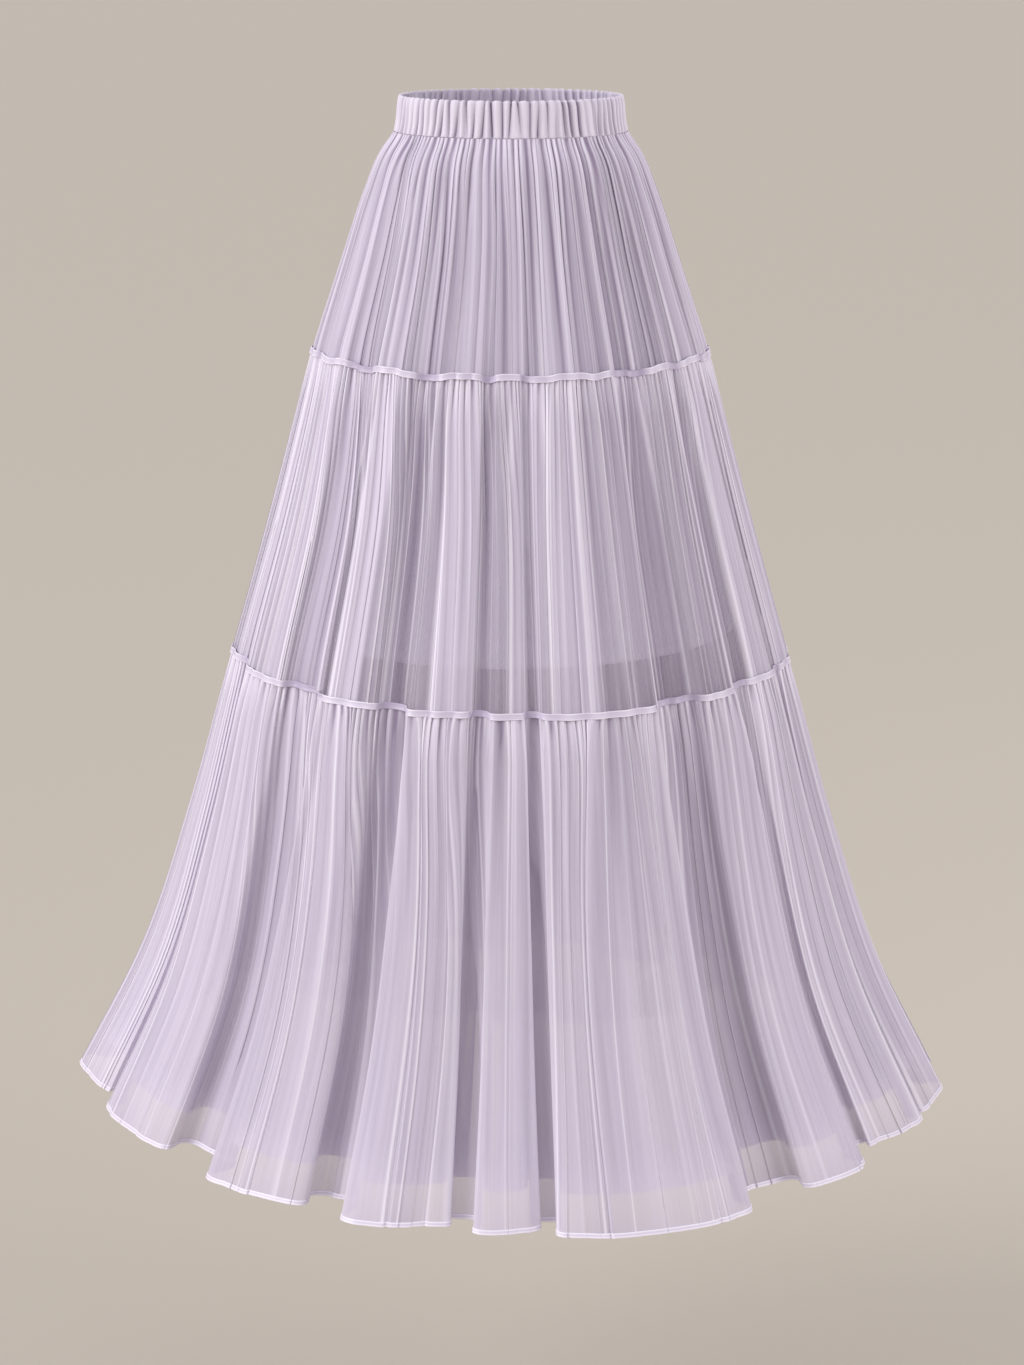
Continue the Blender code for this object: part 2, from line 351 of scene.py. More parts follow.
# %% Roll a sheet
def rolled_sheet(name, places, marks):
    """A tube of cloth from rings of points, top ring first. marks are named numbers for each point."""
    rows, columns = places.shape[0] - 1, places.shape[1]
    bpy.ops.object.select_all(action="DESELECT")
    bpy.ops.mesh.primitive_grid_add(x_subdivisions=columns, y_subdivisions=rows, size=1, calc_uvs=True)
    sheet = bpy.context.object
    sheet.name = sheet.data.name = name
    flat = np.empty(len(sheet.data.vertices) * 3)
    sheet.data.vertices.foreach_get("co", flat)
    flat = flat.reshape(-1, 3)
    column = np.rint((flat[:, 0] + 0.5) * columns).astype(int) % columns
    row = np.rint((0.5 - flat[:, 1]) * rows).astype(int)
    sheet.data.vertices.foreach_set("co", places[row, column].ravel())
    for mark, values in marks.items():
        attribute = sheet.data.attributes.new(mark, "FLOAT", "POINT")
        everywhere = np.broadcast_to(values, places.shape[:2])
        attribute.data.foreach_set("value", everywhere[row, column].astype(np.float32))
    bpy.ops.object.mode_set(mode="EDIT")
    bpy.ops.mesh.select_all(action="SELECT")
    bpy.ops.mesh.remove_doubles(threshold=0.00002)
    bpy.ops.object.mode_set(mode="OBJECT")
    bpy.ops.object.shade_smooth()
    return sheet


def uneven_rows(start, end, count, crowding):
    """Drops from start to end, closer together near the start."""
    return start + (end - start) * np.linspace(0, 1, count) ** crowding


print("sheets are rolled from flat grids")

# %% [markdown]
# ## Tulle
# Tulle is a fine net, so the eye sees partly through it. At this distance the holes are far smaller than a
# pixel, so the cloth is given an even see-through, and streaks along the thread make it vary. Where a fold
# turns back on itself, two thicknesses of net lie together, so each crest is closer, and it is given a
# painted highlight. Down in a fold the net lies in the shade of its neighbours, and that shade is painted
# into its colour. Three marks on the sheet say where the painted highlights on the crests and the painted
# shade of the deep places are, and how closely the net is gathered.

# %% Tulle material
def wire(material, source, output, target, socket):
    material.node_tree.links.new(source.outputs[output], target.inputs[socket])


def add_node(material, kind, **settings):
    node = material.node_tree.nodes.new(kind)
    for name, value in settings.items():
        setattr(node, name, value)
    return node


def thread_streaks(material, across, along, detail):
    """Noise drawn out along the cloth's length, like threads that bunch and part."""
    where = add_node(material, "ShaderNodeUVMap", uv_map="UVMap")
    stretch = add_node(material, "ShaderNodeMapping")
    stretch.inputs["Scale"].default_value = (across, along, 1)
    noise = add_node(material, "ShaderNodeTexNoise")
    noise.inputs["Scale"].default_value = 1
    noise.inputs["Detail"].default_value = detail
    wire(material, where, "UV", stretch, "Vector")
    wire(material, stretch, "Vector", noise, "Vector")
    return noise


def thread_bump(material, shader, threads, height):
    """Raises the threads a little, so that they catch the light."""
    bump = add_node(material, "ShaderNodeBump")
    bump.inputs["Strength"].default_value = 0.5
    bump.inputs["Distance"].default_value = height
    wire(material, threads, "Fac", bump, "Height")
    wire(material, bump, "Normal", shader, "Normal")


def tulle_material(name, body, crest, shade, across):
    """A see-through net with streaks, painted highlights on the crests and painted shade in the folds."""
    material, shader = plain_material(name, (*body, 1), 0.8)
    shader.inputs["Specular IOR Level"].default_value = 0.2
    shader.inputs["Sheen Weight"].default_value = 0.2
    shader.inputs["Sheen Roughness"].default_value = 0.5
    streaks = thread_streaks(material, across, 2.0, 3)
    thread_bump(material, shader, streaks, 0.0004)
    crest_highlight_mark = add_node(material, "ShaderNodeAttribute", attribute_name="crest")
    deep_mark = add_node(material, "ShaderNodeAttribute", attribute_name="deep")
    close_mark = add_node(material, "ShaderNodeAttribute", attribute_name="close")
    span = add_node(material, "ShaderNodeMapRange")
    span.inputs["From Min"].default_value = 0.3
    span.inputs["From Max"].default_value = 0.7
    span.inputs["To Min"].default_value = -STREAK_STRENGTH
    span.inputs["To Max"].default_value = STREAK_STRENGTH
    wire(material, streaks, "Fac", span, "Value")
    closer = add_node(material, "ShaderNodeMath", operation="ADD", use_clamp=True)
    wire(material, close_mark, "Fac", closer, 0)
    wire(material, span, "Result", closer, 1)
    wire(material, closer, "Value", shader, "Alpha")
    # painted shade: the deep mark mixes the body colour towards the shade colour
    shaded = add_node(material, "ShaderNodeMix", data_type="RGBA")
    shaded.inputs["A"].default_value = (*body, 1)
    shaded.inputs["B"].default_value = (*shade, 1)
    wire(material, deep_mark, "Fac", shaded, "Factor")
    # painted highlight: the crest mark mixes in the pale crest colour
    tint = add_node(material, "ShaderNodeMix", data_type="RGBA")
    tint.inputs["B"].default_value = (*crest, 1)
    wire(material, shaded, "Result", tint, "A")
    wire(material, crest_highlight_mark, "Fac", tint, "Factor")
    wire(material, tint, "Result", shader, "Base Color")
    return material


STREAK_STRENGTH = 0.10
# body colour, the crests' painted highlight colour, the painted shade colour, and streaks round the cloth
OUTER_TULLE = tulle_material("outer_tulle", (0.75, 0.685, 0.835), (0.93, 0.89, 0.98), (0.28, 0.22, 0.33), 900)
UNDER_TULLE = tulle_material("under_tulle", (0.71, 0.645, 0.79), (0.90, 0.86, 0.95), (0.28, 0.22, 0.33), 500)
print("two weights of tulle")

# %% [markdown]
# ## Where the folds of a layer lie
# Tiers and underskirts come from one recipe. A gathering thread holds the folds close and even at the seam,
# and below it they wander a little. A few broad panels, where the net is stretched thin, lie between closer
# folds. Each fold gets its own random draw, so no two are alike, and the seed makes them the same at every
# run.

# %% Where the folds lie
PLEAT_UNEVENNESS = 0.25
SEAM_REACH = 0.3

# size in degrees, waves round the skirt, and turn in radians for each metre down
WANDER = ((0.30, 11, 5), (0.25, 23, -7), (0.15, 41, 9))


def layer_folds(drop, pleats, points_per_pleat, own_luck):
    """Edges of the gathers and the pleats, each column's place among them, and where the column lies."""
    gathers = gather_edges(0.5 * (drop[0] + drop[-1]), own_luck)
    edges = split_unevenly(gathers, pleats, PLEAT_UNEVENNESS, own_luck)
    share = np.arange(points_per_pleat) / points_per_pleat
    degrees = (edges[:-1, None] + np.diff(edges)[:, None] * share).ravel()[None, :]
    rings = drop[:, None]
    wander = sum(
        size * np.sin(np.radians(degrees) * count + rings * turn + own_luck.uniform(0, 6))
        for size, count, turn in WANDER
    )
    even = RECESSES[0, 0] + 360 * np.arange(degrees.size) / degrees.size
    near_seam = np.exp(-(((rings - drop[0]) / (SEAM_REACH * (drop[-1] - drop[0]))) ** 2))
    return gathers, edges, degrees, degrees + wander + near_seam * (even - degrees)


# %% Thin panels
PANEL_EDGE = 1.2
FOLD_START = 0.6

# from and to, in degrees from the centre front
THIN_PANELS = (
    (-44, -40), (-33, -28), (-24.5, -16.5), (-8, -1), (3.5, 8), (18, 28), (30, 37), (40, 49), (54, 58),
    (67, 71), (84, 93), (102, 108), (118, 130), (143, 148), (155, 164), (176, 183), (192, 203), (212, 217),
    (226, 237), (246, 251),
)


def thin_panels(degrees):
    """How far each place lies in a thin panel, from 0 to 1, and where the fold beside a panel starts."""
    turned = (degrees - RECESSES[0, 0]) % 360 + RECESSES[0, 0]
    inside = [np.minimum(turned - start, end - turned) for start, end in THIN_PANELS]
    beside = [np.exp(-(((turned - end) / FOLD_START - 1) ** 2)) for _, end in THIN_PANELS]
    return np.clip(np.max(inside, axis=0) / PANEL_EDGE + 0.5, 0, 1), np.max(beside, axis=0)


print(len(THIN_PANELS), "thin panels")

# %% [markdown]
# ## The marks on a layer
# The tulle reads its marks from the folds themselves. A crest is close and takes a painted highlight, and
# some crests fade on their way down while others last to the hem. Net seen edge on is closer too, because
# more thread is in the way, and takes a painted highlight as well, as do the puckers, the turns into the
# recesses and the fold beside a thin panel. Painted shade darkens the creases, most of all in the puckers
# right under the seam, the recesses between two bells, the thin panels and whole gathers.

# %% Painted highlights
TURN_HIGHLIGHT = 0.40
PUCKER_HIGHLIGHT = 0.55
EDGE_ON_HIGHLIGHT = 0.90
FOLD_START_PALE = 0.50
FINE_CREST = 0.93
GATHER_CREST = 0.992
GATHER_CREST_PALE = 0.8


def crest_highlight_mark(fold, pale, brightness, panel_start):
    """Painted highlight per place. brightness is how long the crest of its pleat lasts on the way down."""
    lasting = np.clip(1.5 * brightness**1.4 - 0.5 * fold.down, 0, 1)
    # painted highlights on the crests, the puckers, net seen edge on, the turns into the recesses and the
    # fold beside a thin panel
    fine_crest = np.clip((fold.ridge - FINE_CREST) / (1 - FINE_CREST), 0, 1) ** 2
    gather_crest = np.clip((fold.gather_ridge - GATHER_CREST) / (1 - GATHER_CREST), 0, 1)
    crests = np.maximum(lasting * fine_crest, GATHER_CREST_PALE * gather_crest)
    puckers = np.maximum(PUCKER_HIGHLIGHT * fold.pucker * fold.ridge**3, EDGE_ON_HIGHLIGHT * fold.edge_on)
    turns = TURN_HIGHLIGHT * fold.flutes * fold.turn
    return np.maximum(np.maximum(pale * np.maximum(crests, puckers), turns), FOLD_START_PALE * panel_start)


# %% Painted shade
RECESS_SHADE = 0.42
RECESS_LIGHTER_AT_HEM = 0.6
PUCKER_SHADE = 0.95
GATHER_SHADE = 0.35
THIN_PANEL_SHADE = 0.20
PANEL_SHADE = 0.26


def deep_mark(fold, shade, slit_shade, thin, shaded):
    """Painted shade at each place. shaded is how much each gather lies in shade as a whole."""
    # painted shade in the recesses, the creases, the puckers, the thin panels and whole gathers, on top of
    # the layer's own painted shade
    recesses = RECESS_SHADE * fold.flutes * fold.recess * (1 - RECESS_LIGHTER_AT_HEM * fold.opening)
    creases = slit_shade * (fold.slit * fold.fade + GATHER_SHADE * fold.gather_in)
    puckers = PUCKER_SHADE * fold.pucker * fold.slit
    gathers = PANEL_SHADE * shaded**1.5 * np.clip(5 * fold.down, 0, 1) * fold.gather_ridge
    return shade + THIN_PANEL_SHADE * thin + recesses + creases + puckers + gathers


print("marks for crests and creases")

# %% [markdown]
# ## One gathered layer
# Each point is drawn in and set aside by its place in its gather and in its pleat. Gathers stay steady
# where the cloth turns into a recess. How deep the folds are, how close the net is and how strong the
# painted shade in its creases is all change on the way down, so a layer is given a row of values for each.

# %% One gathered layer
GATHER_DEPTHS = (0.45, 1.0)
GATHER_ROUNDNESS = 0.8
PLEAT_DEPTHS = (0.25, 1.0)
PLEAT_ROUNDNESS = 0.75
PLEAT_FADE = 0.35
PUCKER_LENGTHS = (0.003, 0.024)
EDGE_ON_GAIN = 3.0
CREST_CLOSER = 0.32
DEEP_CLOSER = 0.10
GATHER_PANELS = 0.10
PLEAT_PANELS = 0.05
PANEL_THINNER = 0.32


def gathered_points(drop, seed, pleats, points_per_pleat, along_drop, pale=1.0, wider=0.0):
    """Rings of points for a gathered layer, with its marks. Each row of along_drop has a value per drop."""
    rows = [row[:, None] for row in along_drop]
    gather_depth, pleat_depth, lean, closeness, slit_shade, thinness, shade, inset = rows
    own_luck = np.random.default_rng(seed)
    gathers, edges, degrees, where = layer_folds(drop, pleats, points_per_pleat, own_luck)

    def each_gather(low, high):
        return own_luck.uniform(low, high, GATHERS).repeat(pleats * points_per_pleat)

    def each_pleat(low, high):
        return own_luck.uniform(low, high, len(edges) - 1).repeat(points_per_pleat)

    rings = drop[:, None]
    points, recess = fluted_points(where, rings, inset, wider)
    out, along = outward_of(points)
    gather_in, gather_aside, gather_ridge = fold_wave(
        degrees, gathers, own_luck, GATHER_DEPTHS, GATHER_ROUNDNESS
    )
    fine_in, fine_aside, fine_ridge = fold_wave(degrees, edges, own_luck, PLEAT_DEPTHS, PLEAT_ROUNDNESS)
    fade = 1 + PLEAT_FADE * np.sin(rings * each_pleat(6, 16) + each_pleat(0, 6))
    turn = 4 * recess * (1 - recess)
    steady = 1 - 0.6 * turn
    depth = gather_depth * gather_in * steady + pleat_depth * fine_in * fade
    radius = np.linalg.norm(points[..., :2], axis=-1)
    turned = lean * steady * (gather_aside + 1.2 * fine_aside)
    points = points - out * depth[..., None] + along * (np.radians(turned) * radius)[..., None]

    opening = line_at(rings)[3]
    fold = SimpleNamespace(
        down=(rings - drop[0]) / (drop[-1] - drop[0]), opening=opening, flutes=np.clip(2.4 * opening, 0, 1),
        recess=recess, turn=turn, gather_in=gather_in, gather_ridge=gather_ridge,
        ridge=fine_ridge, slit=np.clip(1 - fine_ridge, 0, 1) ** 1.4, fade=fade,
        edge_on=np.clip(EDGE_ON_GAIN * (1 - np.sum(outward_of(points)[0] * out, axis=-1)), 0, 1),
        pucker=np.exp(-(((rings - drop[0]) / each_pleat(*PUCKER_LENGTHS)) ** 2)),
    )
    thin, panel_start = thin_panels(where)
    crest = crest_highlight_mark(fold, pale, each_pleat(0, 1), thinness * panel_start)
    deep = deep_mark(fold, shade, slit_shade, thinness * thin, each_gather(0, 1))
    panels = each_gather(-GATHER_PANELS, GATHER_PANELS) + each_pleat(-PLEAT_PANELS, PLEAT_PANELS)
    panels = panels + PANEL_THINNER * thinness * (0.5 - thin)
    close = closeness + CREST_CLOSER * crest + DEEP_CLOSER * deep + panels
    return points, {"crest": crest, "deep": np.clip(deep, 0, 1), "close": close}


# %% Dressing a piece
def dress(sheet, node, material):
    """Gives a finished piece its material and its place in the frame, and hides the solid it replaces."""
    sheet.data.materials.append(material)
    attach(sheet, "root")
    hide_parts(node)
    low, high = sheet.bound_box[0], sheet.bound_box[6]
    size = [round((b - a) * 1000) for a, b in zip(low, high)]
    print(sheet.name, size, "mm,", sum(len(face.vertices) - 2 for face in sheet.data.polygons), "triangles")
    return sheet


print("one recipe for every gathered layer")

# %% [markdown]
# ## The three tiers
# Each tier is gathered into the one above. Right under its seam the gathers are small and tight, and they
# pucker. Lower down they run together into flatter panels. The tier's bottom edge is held flat by the next
# seam.

# %% Tiers
TIER_INSET = 0.0005

# from the top of the tier: at the seam, 10 mm under it, 40 mm, half way, 32 mm above the end and at the end
TIER_LEAN = (0.10, 0.20, 0.30, 0.34, 0.30, 0.30)


def tier(node, top, bottom, rows, seed, pleats, points_per_pleat, pale, by_place):
    """One gathered tier. by_place has a row of six values for each thing that changes on the way down."""
    drop = uneven_rows(top, bottom, rows, 1.5)
    length = bottom - top
    places = np.array((0, 0.010, 0.04, 0.5 * length, length - 0.032, length)) + top
    gathers, folds, closeness, slit_shade, thinness, shade = (np.interp(drop, places, row) for row in by_place)
    lean = np.interp(drop, places, TIER_LEAN)
    along_drop = (gathers, folds, lean, closeness, slit_shade, thinness, shade, 0 * drop + TIER_INSET)
    points, marks = gathered_points(drop, seed, pleats, points_per_pleat, along_drop, pale)
    return dress(rolled_sheet(node + "_cloth", points, marks), node, OUTER_TULLE), points


# rows: depth of the gathers and of the pleats, closeness of the net, painted shade in the creases, thin
# panels and painted shade; the number before them scales the painted highlight on the crests
tier_1, _ = tier("tier_1", WAISTBAND_HEIGHT, SEAM_1, 24, 11, 2, 12, 0.45, (
    (0.0008, 0.0030, 0.0034, 0.0030, 0.0020, 0.0018),
    (0.0020, 0.0030, 0.0022, 0.0018, 0.0013, 0.0012),
    (0.92, 0.84, 0.74, 0.64, 0.60, 0.58),
    (1.00, 1.00, 0.90, 0.75, 0.62, 0.60),
    (0.00, 0.10, 0.30, 0.60, 0.80, 0.90),
    (0.00, 0.00, 0.00, 0.00, 0.00, 0.00),
))
tier_2, _ = tier("tier_2", SEAM_1, SEAM_2, 24, 12, 4, 8, 0.75, (
    (0.0008, 0.0018, 0.0024, 0.0026, 0.0021, 0.0020),
    (0.0016, 0.0032, 0.0014, 0.0010, 0.0008, 0.0008),
    (0.82, 0.74, 0.66, 0.60, 0.50, 0.44),
    (0.50, 0.50, 0.45, 0.38, 0.35, 0.35),
    (0.30, 0.50, 0.80, 1.00, 1.25, 1.30),
    (0.00, 0.00, 0.00, 0.00, 0.00, 0.00),
))
# the bottom tier's last row is painted shade that grows darker towards the hem
tier_3, tier_3_points = tier("tier_3", SEAM_2, HEM, 30, 13, 4, 8, 0.70, (
    (0.0012, 0.0022, 0.0026, 0.0026, 0.0029, 0.0030),
    (0.0018, 0.0036, 0.0014, 0.0009, 0.0006, 0.0005),
    (0.80, 0.74, 0.66, 0.62, 0.63, 0.73),
    (0.55, 0.50, 0.36, 0.12, 0.05, 0.04),
    (0.50, 0.50, 0.40, 0.20, 0.02, 0.00),
    (0.00, 0.00, 0.00, 0.05, 0.13, 0.31),
))

# %% [markdown]
# ## The layers inside
# The slip is a plain opaque tube with a narrow stitched hem. The two underskirts are of thinner tulle. They
# are modelled like the tiers, but with softer folds, and they hang just inside them.

# %% Underskirts
UNDER_SEAM_GAP = 0.001
UNDER_GATHER_DEPTH = 0.0016
UNDER_PLEAT_DEPTH = 0.0010
UNDER_LEAN = 0.15
UNDER_CREASE_SHADE = 0.3
UNDER_THIN_PANELS = 0.2
HEM_TURNING = 0.006
HEM_PALE = 0.9
HEM_CLOSER = 0.14


def underskirt(node, hem, rows, seed, wider, places, insets, closeness):
    """A thin tulle layer that hangs inside the tiers from the waist to its own hem."""
    drop = uneven_rows(WAISTBAND_HEIGHT + UNDER_SEAM_GAP, hem, rows, 1.2)
    opening = np.interp(drop, (WAISTBAND_HEIGHT, 0.10, SEAM_2, hem), (0.1, 0.5, 0.8, 1.0))
    even = np.ones(rows)
    along_drop = (
        UNDER_GATHER_DEPTH * opening, UNDER_PLEAT_DEPTH * opening, UNDER_LEAN * even,
        np.interp(drop, places, closeness), UNDER_CREASE_SHADE * even, UNDER_THIN_PANELS * even, 0 * even,
        np.interp(drop, places, insets),
    )
    points, marks = gathered_points(drop, seed, 2, 8, along_drop, wider=wider)
    turned_hem = np.where(drop > hem - HEM_TURNING, 1.0, 0.0)[:, None]
    # the crests keep half their painted highlight; the turned hem is doubled net, closer and as pale as a
    # crest
    marks["crest"] = np.maximum(0.5 * marks["crest"], HEM_PALE * turned_hem)
    marks["close"] = marks["close"] + HEM_CLOSER * turned_hem
    return dress(rolled_sheet(node + "_cloth", points, marks), node, UNDER_TULLE)


# drops at which each underskirt is told how far inside the tiers it hangs and how close its net is
UNDERSKIRT_PLACES = (WAISTBAND_HEIGHT, WAISTBAND_HEIGHT + 0.010, 0.06, SEAM_2, 0.70, HEM)

underskirt_long = underskirt(
    "underskirt_long", LONG_LAYER_HEM, 34, 21, 0.8, UNDERSKIRT_PLACES,
    (0.0044, 0.0078, 0.0088, 0.0104, 0.0118, 0.0132), (0.30, 0.26, 0.22, 0.20, 0.54, 0.80),
)
underskirt_mid = underskirt(
    "underskirt_mid", MID_LAYER_HEM, 28, 22, 1.4, UNDERSKIRT_PLACES,
    (0.0052, 0.0098, 0.0115, 0.0135, 0.0158, 0.0160), (0.25, 0.20, 0.14, 0.10, 0.24, 0.44),
)

# %% Lining
LINING_COLUMNS = 480
LINING_HEM_TURNING = 0.008
LINING_CLOTH_WALL = 0.0006


def lining_material():
    """A smooth opaque cloth with a faint lengthwise thread."""
    material, shader = plain_material("lining_cloth", (0.86, 0.82, 0.92, 1), 0.5)
    shader.inputs["Sheen Weight"].default_value = 0.2
    streaks = thread_streaks(material, 260, 3, 2)
    thread_bump(material, shader, streaks, 0.0003)
    tint = add_node(material, "ShaderNodeMix", data_type="RGBA")
    tint.inputs["A"].default_value = (0.87, 0.83, 0.93, 1)
    tint.inputs["B"].default_value = (0.93, 0.90, 0.97, 1)
    wire(material, streaks, "Fac", tint, "Factor")
    wire(material, tint, "Result", shader, "Base Color")
    return material


drop = np.concatenate((
    uneven_rows(WAISTBAND_HEIGHT + UNDER_SEAM_GAP, LINING_HEM - LINING_HEM_TURNING, 24, 1.3),
    LINING_HEM - np.array((0.0078, 0.0060, 0.0020, 0.0)),
))
raised = np.concatenate((np.zeros(24), (0.0005, 0.0006, 0.0006, 0.0004)))
degrees = (360 * np.arange(LINING_COLUMNS) / LINING_COLUMNS)[None, :]
inset = np.interp(drop, (WAISTBAND_HEIGHT, 0.053, SEAM_1, LINING_HEM), (0.0056, 0.0155, 0.0265, 0.0460))
inset = inset - raised
lining = rolled_sheet("lining_cloth", ellipse_points(np.radians(degrees), drop[:, None], inset[:, None]), {})
bpy.ops.object.modifier_add(type="SOLIDIFY")
lining.modifiers[-1].thickness = LINING_CLOTH_WALL
lining.modifiers[-1].offset = -1
bpy.ops.object.modifier_apply(modifier=lining.modifiers[-1].name)
dress(lining, "lining", lining_material())

# %% [markdown]
# ## The waistband
# A strip of tulle, doubled over a wide elastic, makes the waistband. The elastic draws it into about eighty
# small gathers. Each is deep at one end and shallow at the other, and few of them run quite straight down.
# The band's section is a closed loop: up the inside, over the top, down the outside and back under.

# %% Waistband
BAND_GATHERS = 80
BAND_POINTS_PER_GATHER = 16
BAND_THICKNESS = 0.0028
BAND_CROWN = 0.0009
BAND_GATHER_DEPTH = 0.0042
BAND_RIPPLE = 0.30
BAND_SCALLOP = 0.80
BACK_SEAM_SPREAD = 0.5
BACK_SEAM_DEPTH = 0.0006
INSIDE_SHADE = 0.22
luck = np.random.default_rng(7)

# height above the band's bottom edge, offset inwards and depth of its gathers, each as a share of the whole
BAND_SECTION = np.array((
    (0.00, 0.90, 0.0), (0.02, 1.00, 0.4), (0.30, 1.00, 0.7), (0.65, 1.00, 0.7), (0.93, 1.00, 0.7),
    (0.985, 0.86, 0.7), (1.00, 0.50, 0.8), (0.985, 0.12, 1.0), (0.93, 0.00, 1.0), (0.80, 0.00, 1.0),
    (0.65, 0.00, 1.0), (0.50, 0.00, 1.0), (0.35, 0.00, 1.0), (0.20, 0.00, 1.0), (0.08, 0.05, 1.0),
    (0.03, 0.20, 0.8), (0.00, 0.50, 0.4), (0.00, 0.90, 0.0),
))


def band_material():
    """Doubled tulle over elastic: opaque, with fine threads that follow the gathers, and painted shade in
    them.
    """
    material, shader = plain_material("waistband_cloth", (0.66, 0.60, 0.73, 1), 0.7)
    shader.inputs["Sheen Weight"].default_value = 0.25
    streaks = thread_streaks(material, 900, 6, 4)
    thread_bump(material, shader, streaks, 0.0003)
    threads = add_node(material, "ShaderNodeMix", data_type="RGBA")
    threads.inputs["A"].default_value = (0.66, 0.60, 0.73, 1)
    threads.inputs["B"].default_value = (0.84, 0.78, 0.90, 1)
    wire(material, streaks, "Fac", threads, "Factor")
    deep_mark = add_node(material, "ShaderNodeAttribute", attribute_name="deep")
    # painted shade, mixed in by the deep mark
    tint = add_node(material, "ShaderNodeMix", data_type="RGBA")
    tint.inputs["B"].default_value = (0.20, 0.155, 0.25, 1)
    wire(material, threads, "Result", tint, "A")
    wire(material, deep_mark, "Fac", tint, "Factor")
    wire(material, tint, "Result", shader, "Base Color")
    return material


edges = split_unevenly(np.array((-180.0, 180.0)), BAND_GATHERS, 0.15, luck)
gather, share = np.divmod(np.arange(BAND_GATHERS * BAND_POINTS_PER_GATHER), BAND_POINTS_PER_GATHER)
share = share / BAND_POINTS_PER_GATHER
height, offset, gathered = (BAND_SECTION[:, None, column] for column in range(3))
slant = luck.uniform(-0.45, 0.45, BAND_GATHERS + 1)
top_depth = luck.uniform(0.2, 1.0, BAND_GATHERS + 1)
foot_depth = luck.uniform(0.2, 1.0, BAND_GATHERS + 1)
for values in (slant, top_depth, foot_depth):
    values[-1] = values[0]
mean_width = 360 / BAND_GATHERS
edge_here = edges[gather] + slant[gather] * (height - 0.5) * mean_width
edge_next = edges[gather + 1] + slant[gather + 1] * (height - 0.5) * mean_width
degrees = edge_here + (edge_next - edge_here) * share
slit = foot_depth * (1 - height) + top_depth * height
slit = slit[:, gather] * (1 - share) + slit[:, gather + 1] * share
slit = slit * (1 - np.sin(np.pi * share) ** 0.75) * gathered
ripple = luck.uniform(-0.6, 1.0, BAND_GATHERS).clip(0)[gather]
slit = slit + BAND_RIPPLE * ripple * np.sin(2 * np.pi * share) ** 2 * (1 - 0.6 * height) * gathered
back_seam = np.exp(-(((np.abs(degrees) - 180) / BACK_SEAM_SPREAD) ** 2)) * np.ones_like(slit)
depth = BAND_GATHER_DEPTH * slit + BACK_SEAM_DEPTH * back_seam
crown = BAND_CROWN * np.sin(np.pi * height) * (offset < 0.5)
drop = WAISTBAND_HEIGHT * (1 - height)
points = ellipse_points(np.radians(degrees), drop, offset * BAND_THICKNESS + depth - crown)
points[..., 2] -= BAND_SCALLOP * depth * (height > 0.9)
# The deep mark is painted shade down in the gathers and on the band's inside face, and a dark line at the
# back seam.
inside = INSIDE_SHADE * (offset > 0.8)
marks = {"deep": np.clip(1.1 * slit + 0.6 * back_seam + inside, 0, 0.95)}
waistband = rolled_sheet("waistband_cloth", points, marks)
dress(waistband, "waistband", band_material())

# %% [markdown]
# ## Ribbons and hem binding
# A satin ribbon is sewn flat over each seam, and a folded satin tape binds the hem. Satin has a soft gloss
# that runs along the tape. Both are closed strips: the ribbon bridges the small gathers and follows the big
# folds, and the binding wraps the very edge of the bottom tier, so it takes that edge's points.

# %% Satin
def satin_material():
    """A pale, close woven tape with a soft gloss, paler at its two stitched edges, with painted shade."""
    material, shader = plain_material("satin", (0.74, 0.68, 0.80, 1), 0.38)
    shader.inputs["Specular IOR Level"].default_value = 0.45
    streaks = thread_streaks(material, 500, 30, 2)
    thread_bump(material, shader, streaks, 0.0001)
    weave = add_node(material, "ShaderNodeMix", data_type="RGBA")
    weave.inputs["A"].default_value = (0.58, 0.52, 0.67, 1)
    weave.inputs["B"].default_value = (0.70, 0.64, 0.78, 1)
    wire(material, streaks, "Fac", weave, "Factor")
    edge_mark = add_node(material, "ShaderNodeAttribute", attribute_name="edge")
    tint = add_node(material, "ShaderNodeMix", data_type="RGBA")
    tint.inputs["B"].default_value = (0.86, 0.81, 0.92, 1)
    wire(material, weave, "Result", tint, "A")
    wire(material, edge_mark, "Fac", tint, "Factor")
    # painted shade where the ribbon lies in a recess or dips into a gather
    deep_mark = add_node(material, "ShaderNodeAttribute", attribute_name="deep")
    shaded = add_node(material, "ShaderNodeMix", data_type="RGBA")
    shaded.inputs["B"].default_value = (0.46, 0.39, 0.54, 1)
    wire(material, tint, "Result", shaded, "A")
    wire(material, deep_mark, "Fac", shaded, "Factor")
    wire(material, shaded, "Result", shader, "Base Color")
    return material


SATIN = satin_material()

# %% Ribbons
RIBBON_WIDTH = 0.0060
RIBBON_COLUMNS = 1440
RIBBON_STANDS_OUT = 0.0005

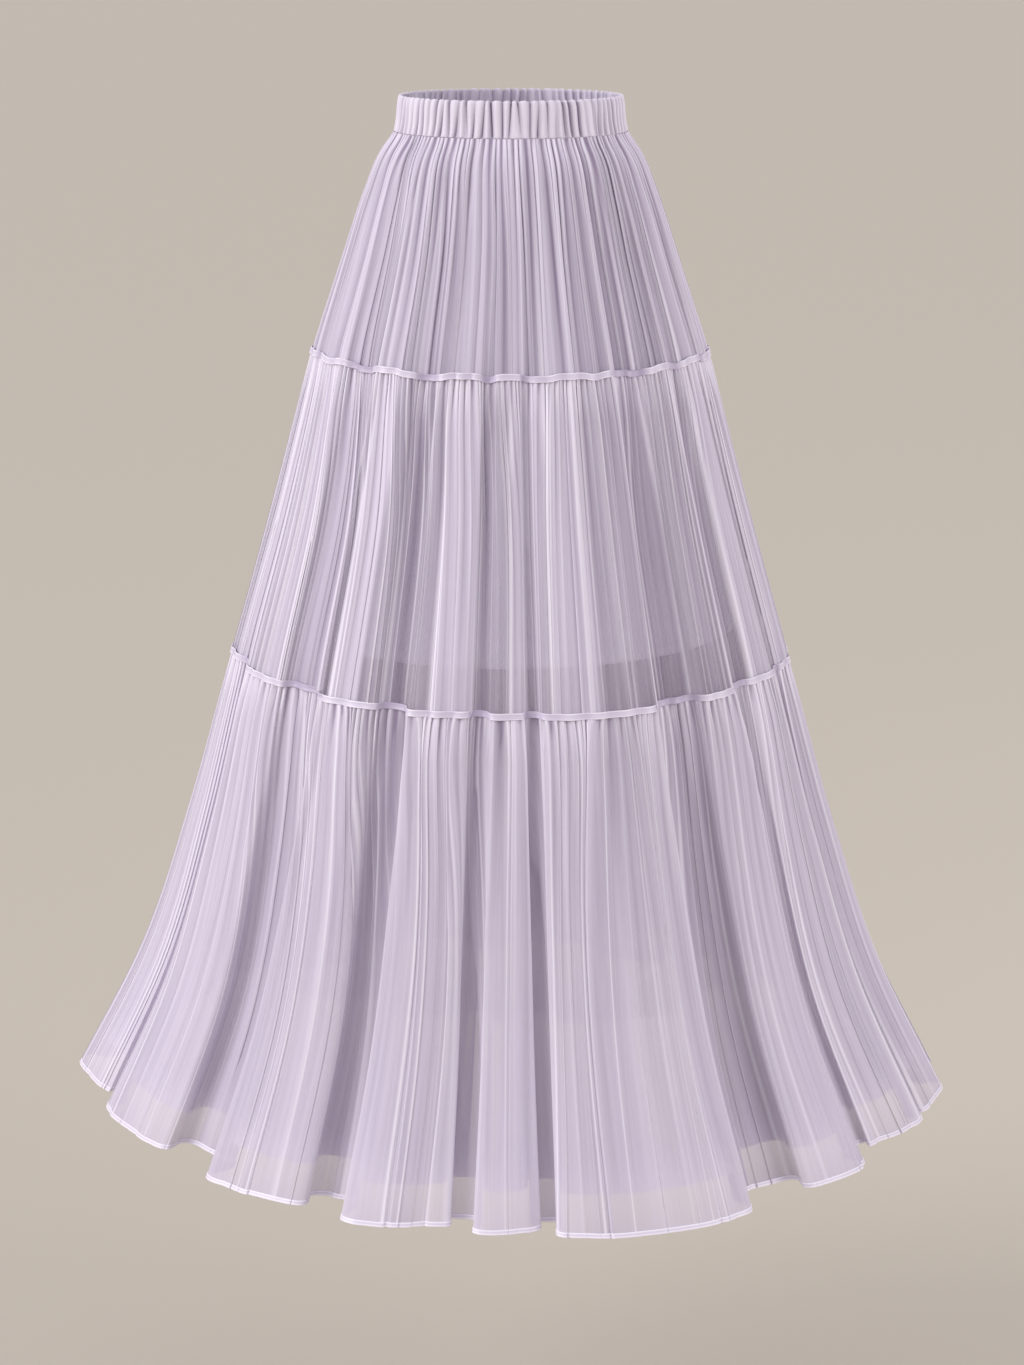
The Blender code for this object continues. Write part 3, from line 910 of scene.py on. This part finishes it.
# down the ribbon as a share of its width, out from the cloth in metres, and how pale
RIBBON_SECTION = np.array((
    (0.00, 0.0005, 1.0), (0.06, 0.0008, 1.0), (0.14, 0.0008, 0.9), (0.22, 0.0006, 0.1), (0.50, 0.0007, 0.2),
    (0.78, 0.0006, 0.1), (0.86, 0.0008, 0.9), (0.94, 0.0008, 1.0), (1.00, 0.0005, 1.0), (1.00, 0.0, 0.5),
    (0.50, 0.0, 0.0), (0.00, 0.0, 0.5), (0.00, 0.0005, 1.0),
))


def ribbon(node, seam, gather_depth):
    """A satin ribbon sewn flat over a seam. It dips into the gathers, though less than the cloth does."""
    down, out, pale = (RIBBON_SECTION[:, column:column + 1] for column in range(3))
    drop = seam + (down - 0.5) * RIBBON_WIDTH
    degrees = (RECESSES[0, 0] + 360 * np.arange(RIBBON_COLUMNS) / RIBBON_COLUMNS)[None, :]
    own_luck = np.random.default_rng(31)
    bridged, _, _ = fold_wave(degrees, gather_edges(seam, own_luck), own_luck, (0.4, 1.0), 1.6)
    points, recess = fluted_points(degrees, drop, gather_depth * bridged - RIBBON_STANDS_OUT - out)
    # deep is painted shade in the recesses and the gathers the ribbon dips into, and the pale edges dim
    # there, which is painted shade too
    marks = {"edge": pale * (1 - 0.6 * recess), "deep": 0.8 * recess + 0.5 * bridged}
    return dress(rolled_sheet(node + "_satin", points, marks), node, SATIN)


ribbon_1 = ribbon("ribbon_1", SEAM_1, 0.0016)
ribbon_2 = ribbon("ribbon_2", SEAM_2, 0.0022)

# %% Hem binding
BINDING_WIDTH = 0.0044
BINDING_HALF_THICKNESS = 0.0005

# up from the hem's edge as a share of the width, out as a share of the half thickness, and how pale
BINDING_SECTION = (
    (1.0, 0.9, 0.9), (0.88, 1.3, 1.0), (0.72, 1.0, 0.3), (0.5, 1.1, 0.0), (0.25, 1.4, 0.9), (0.02, 1.1, 1.0),
    (-0.10, 0.0, 1.0), (0.02, -1.1, 0.8), (0.5, -1.1, 0.2), (0.88, -1.1, 0.8), (1.0, -0.9, 0.9),
    (1.0, 0.9, 0.9),
)

edge, above = tier_3_points[-1], tier_3_points[-2]
upward = (above - edge) / np.linalg.norm(above - edge, axis=-1, keepdims=True)
out, _ = outward_of(edge[None, :, :])
rings = [
    edge + upward * (up * BINDING_WIDTH) + out[0] * (side * BINDING_HALF_THICKNESS)
    for up, side, _ in BINDING_SECTION
]
pale = np.array([row[2] for row in BINDING_SECTION])[:, None]
binding = rolled_sheet("hem_binding_satin", np.array(rings), {"edge": pale, "deep": 0 * pale})
dress(binding, "hem_binding", SATIN)
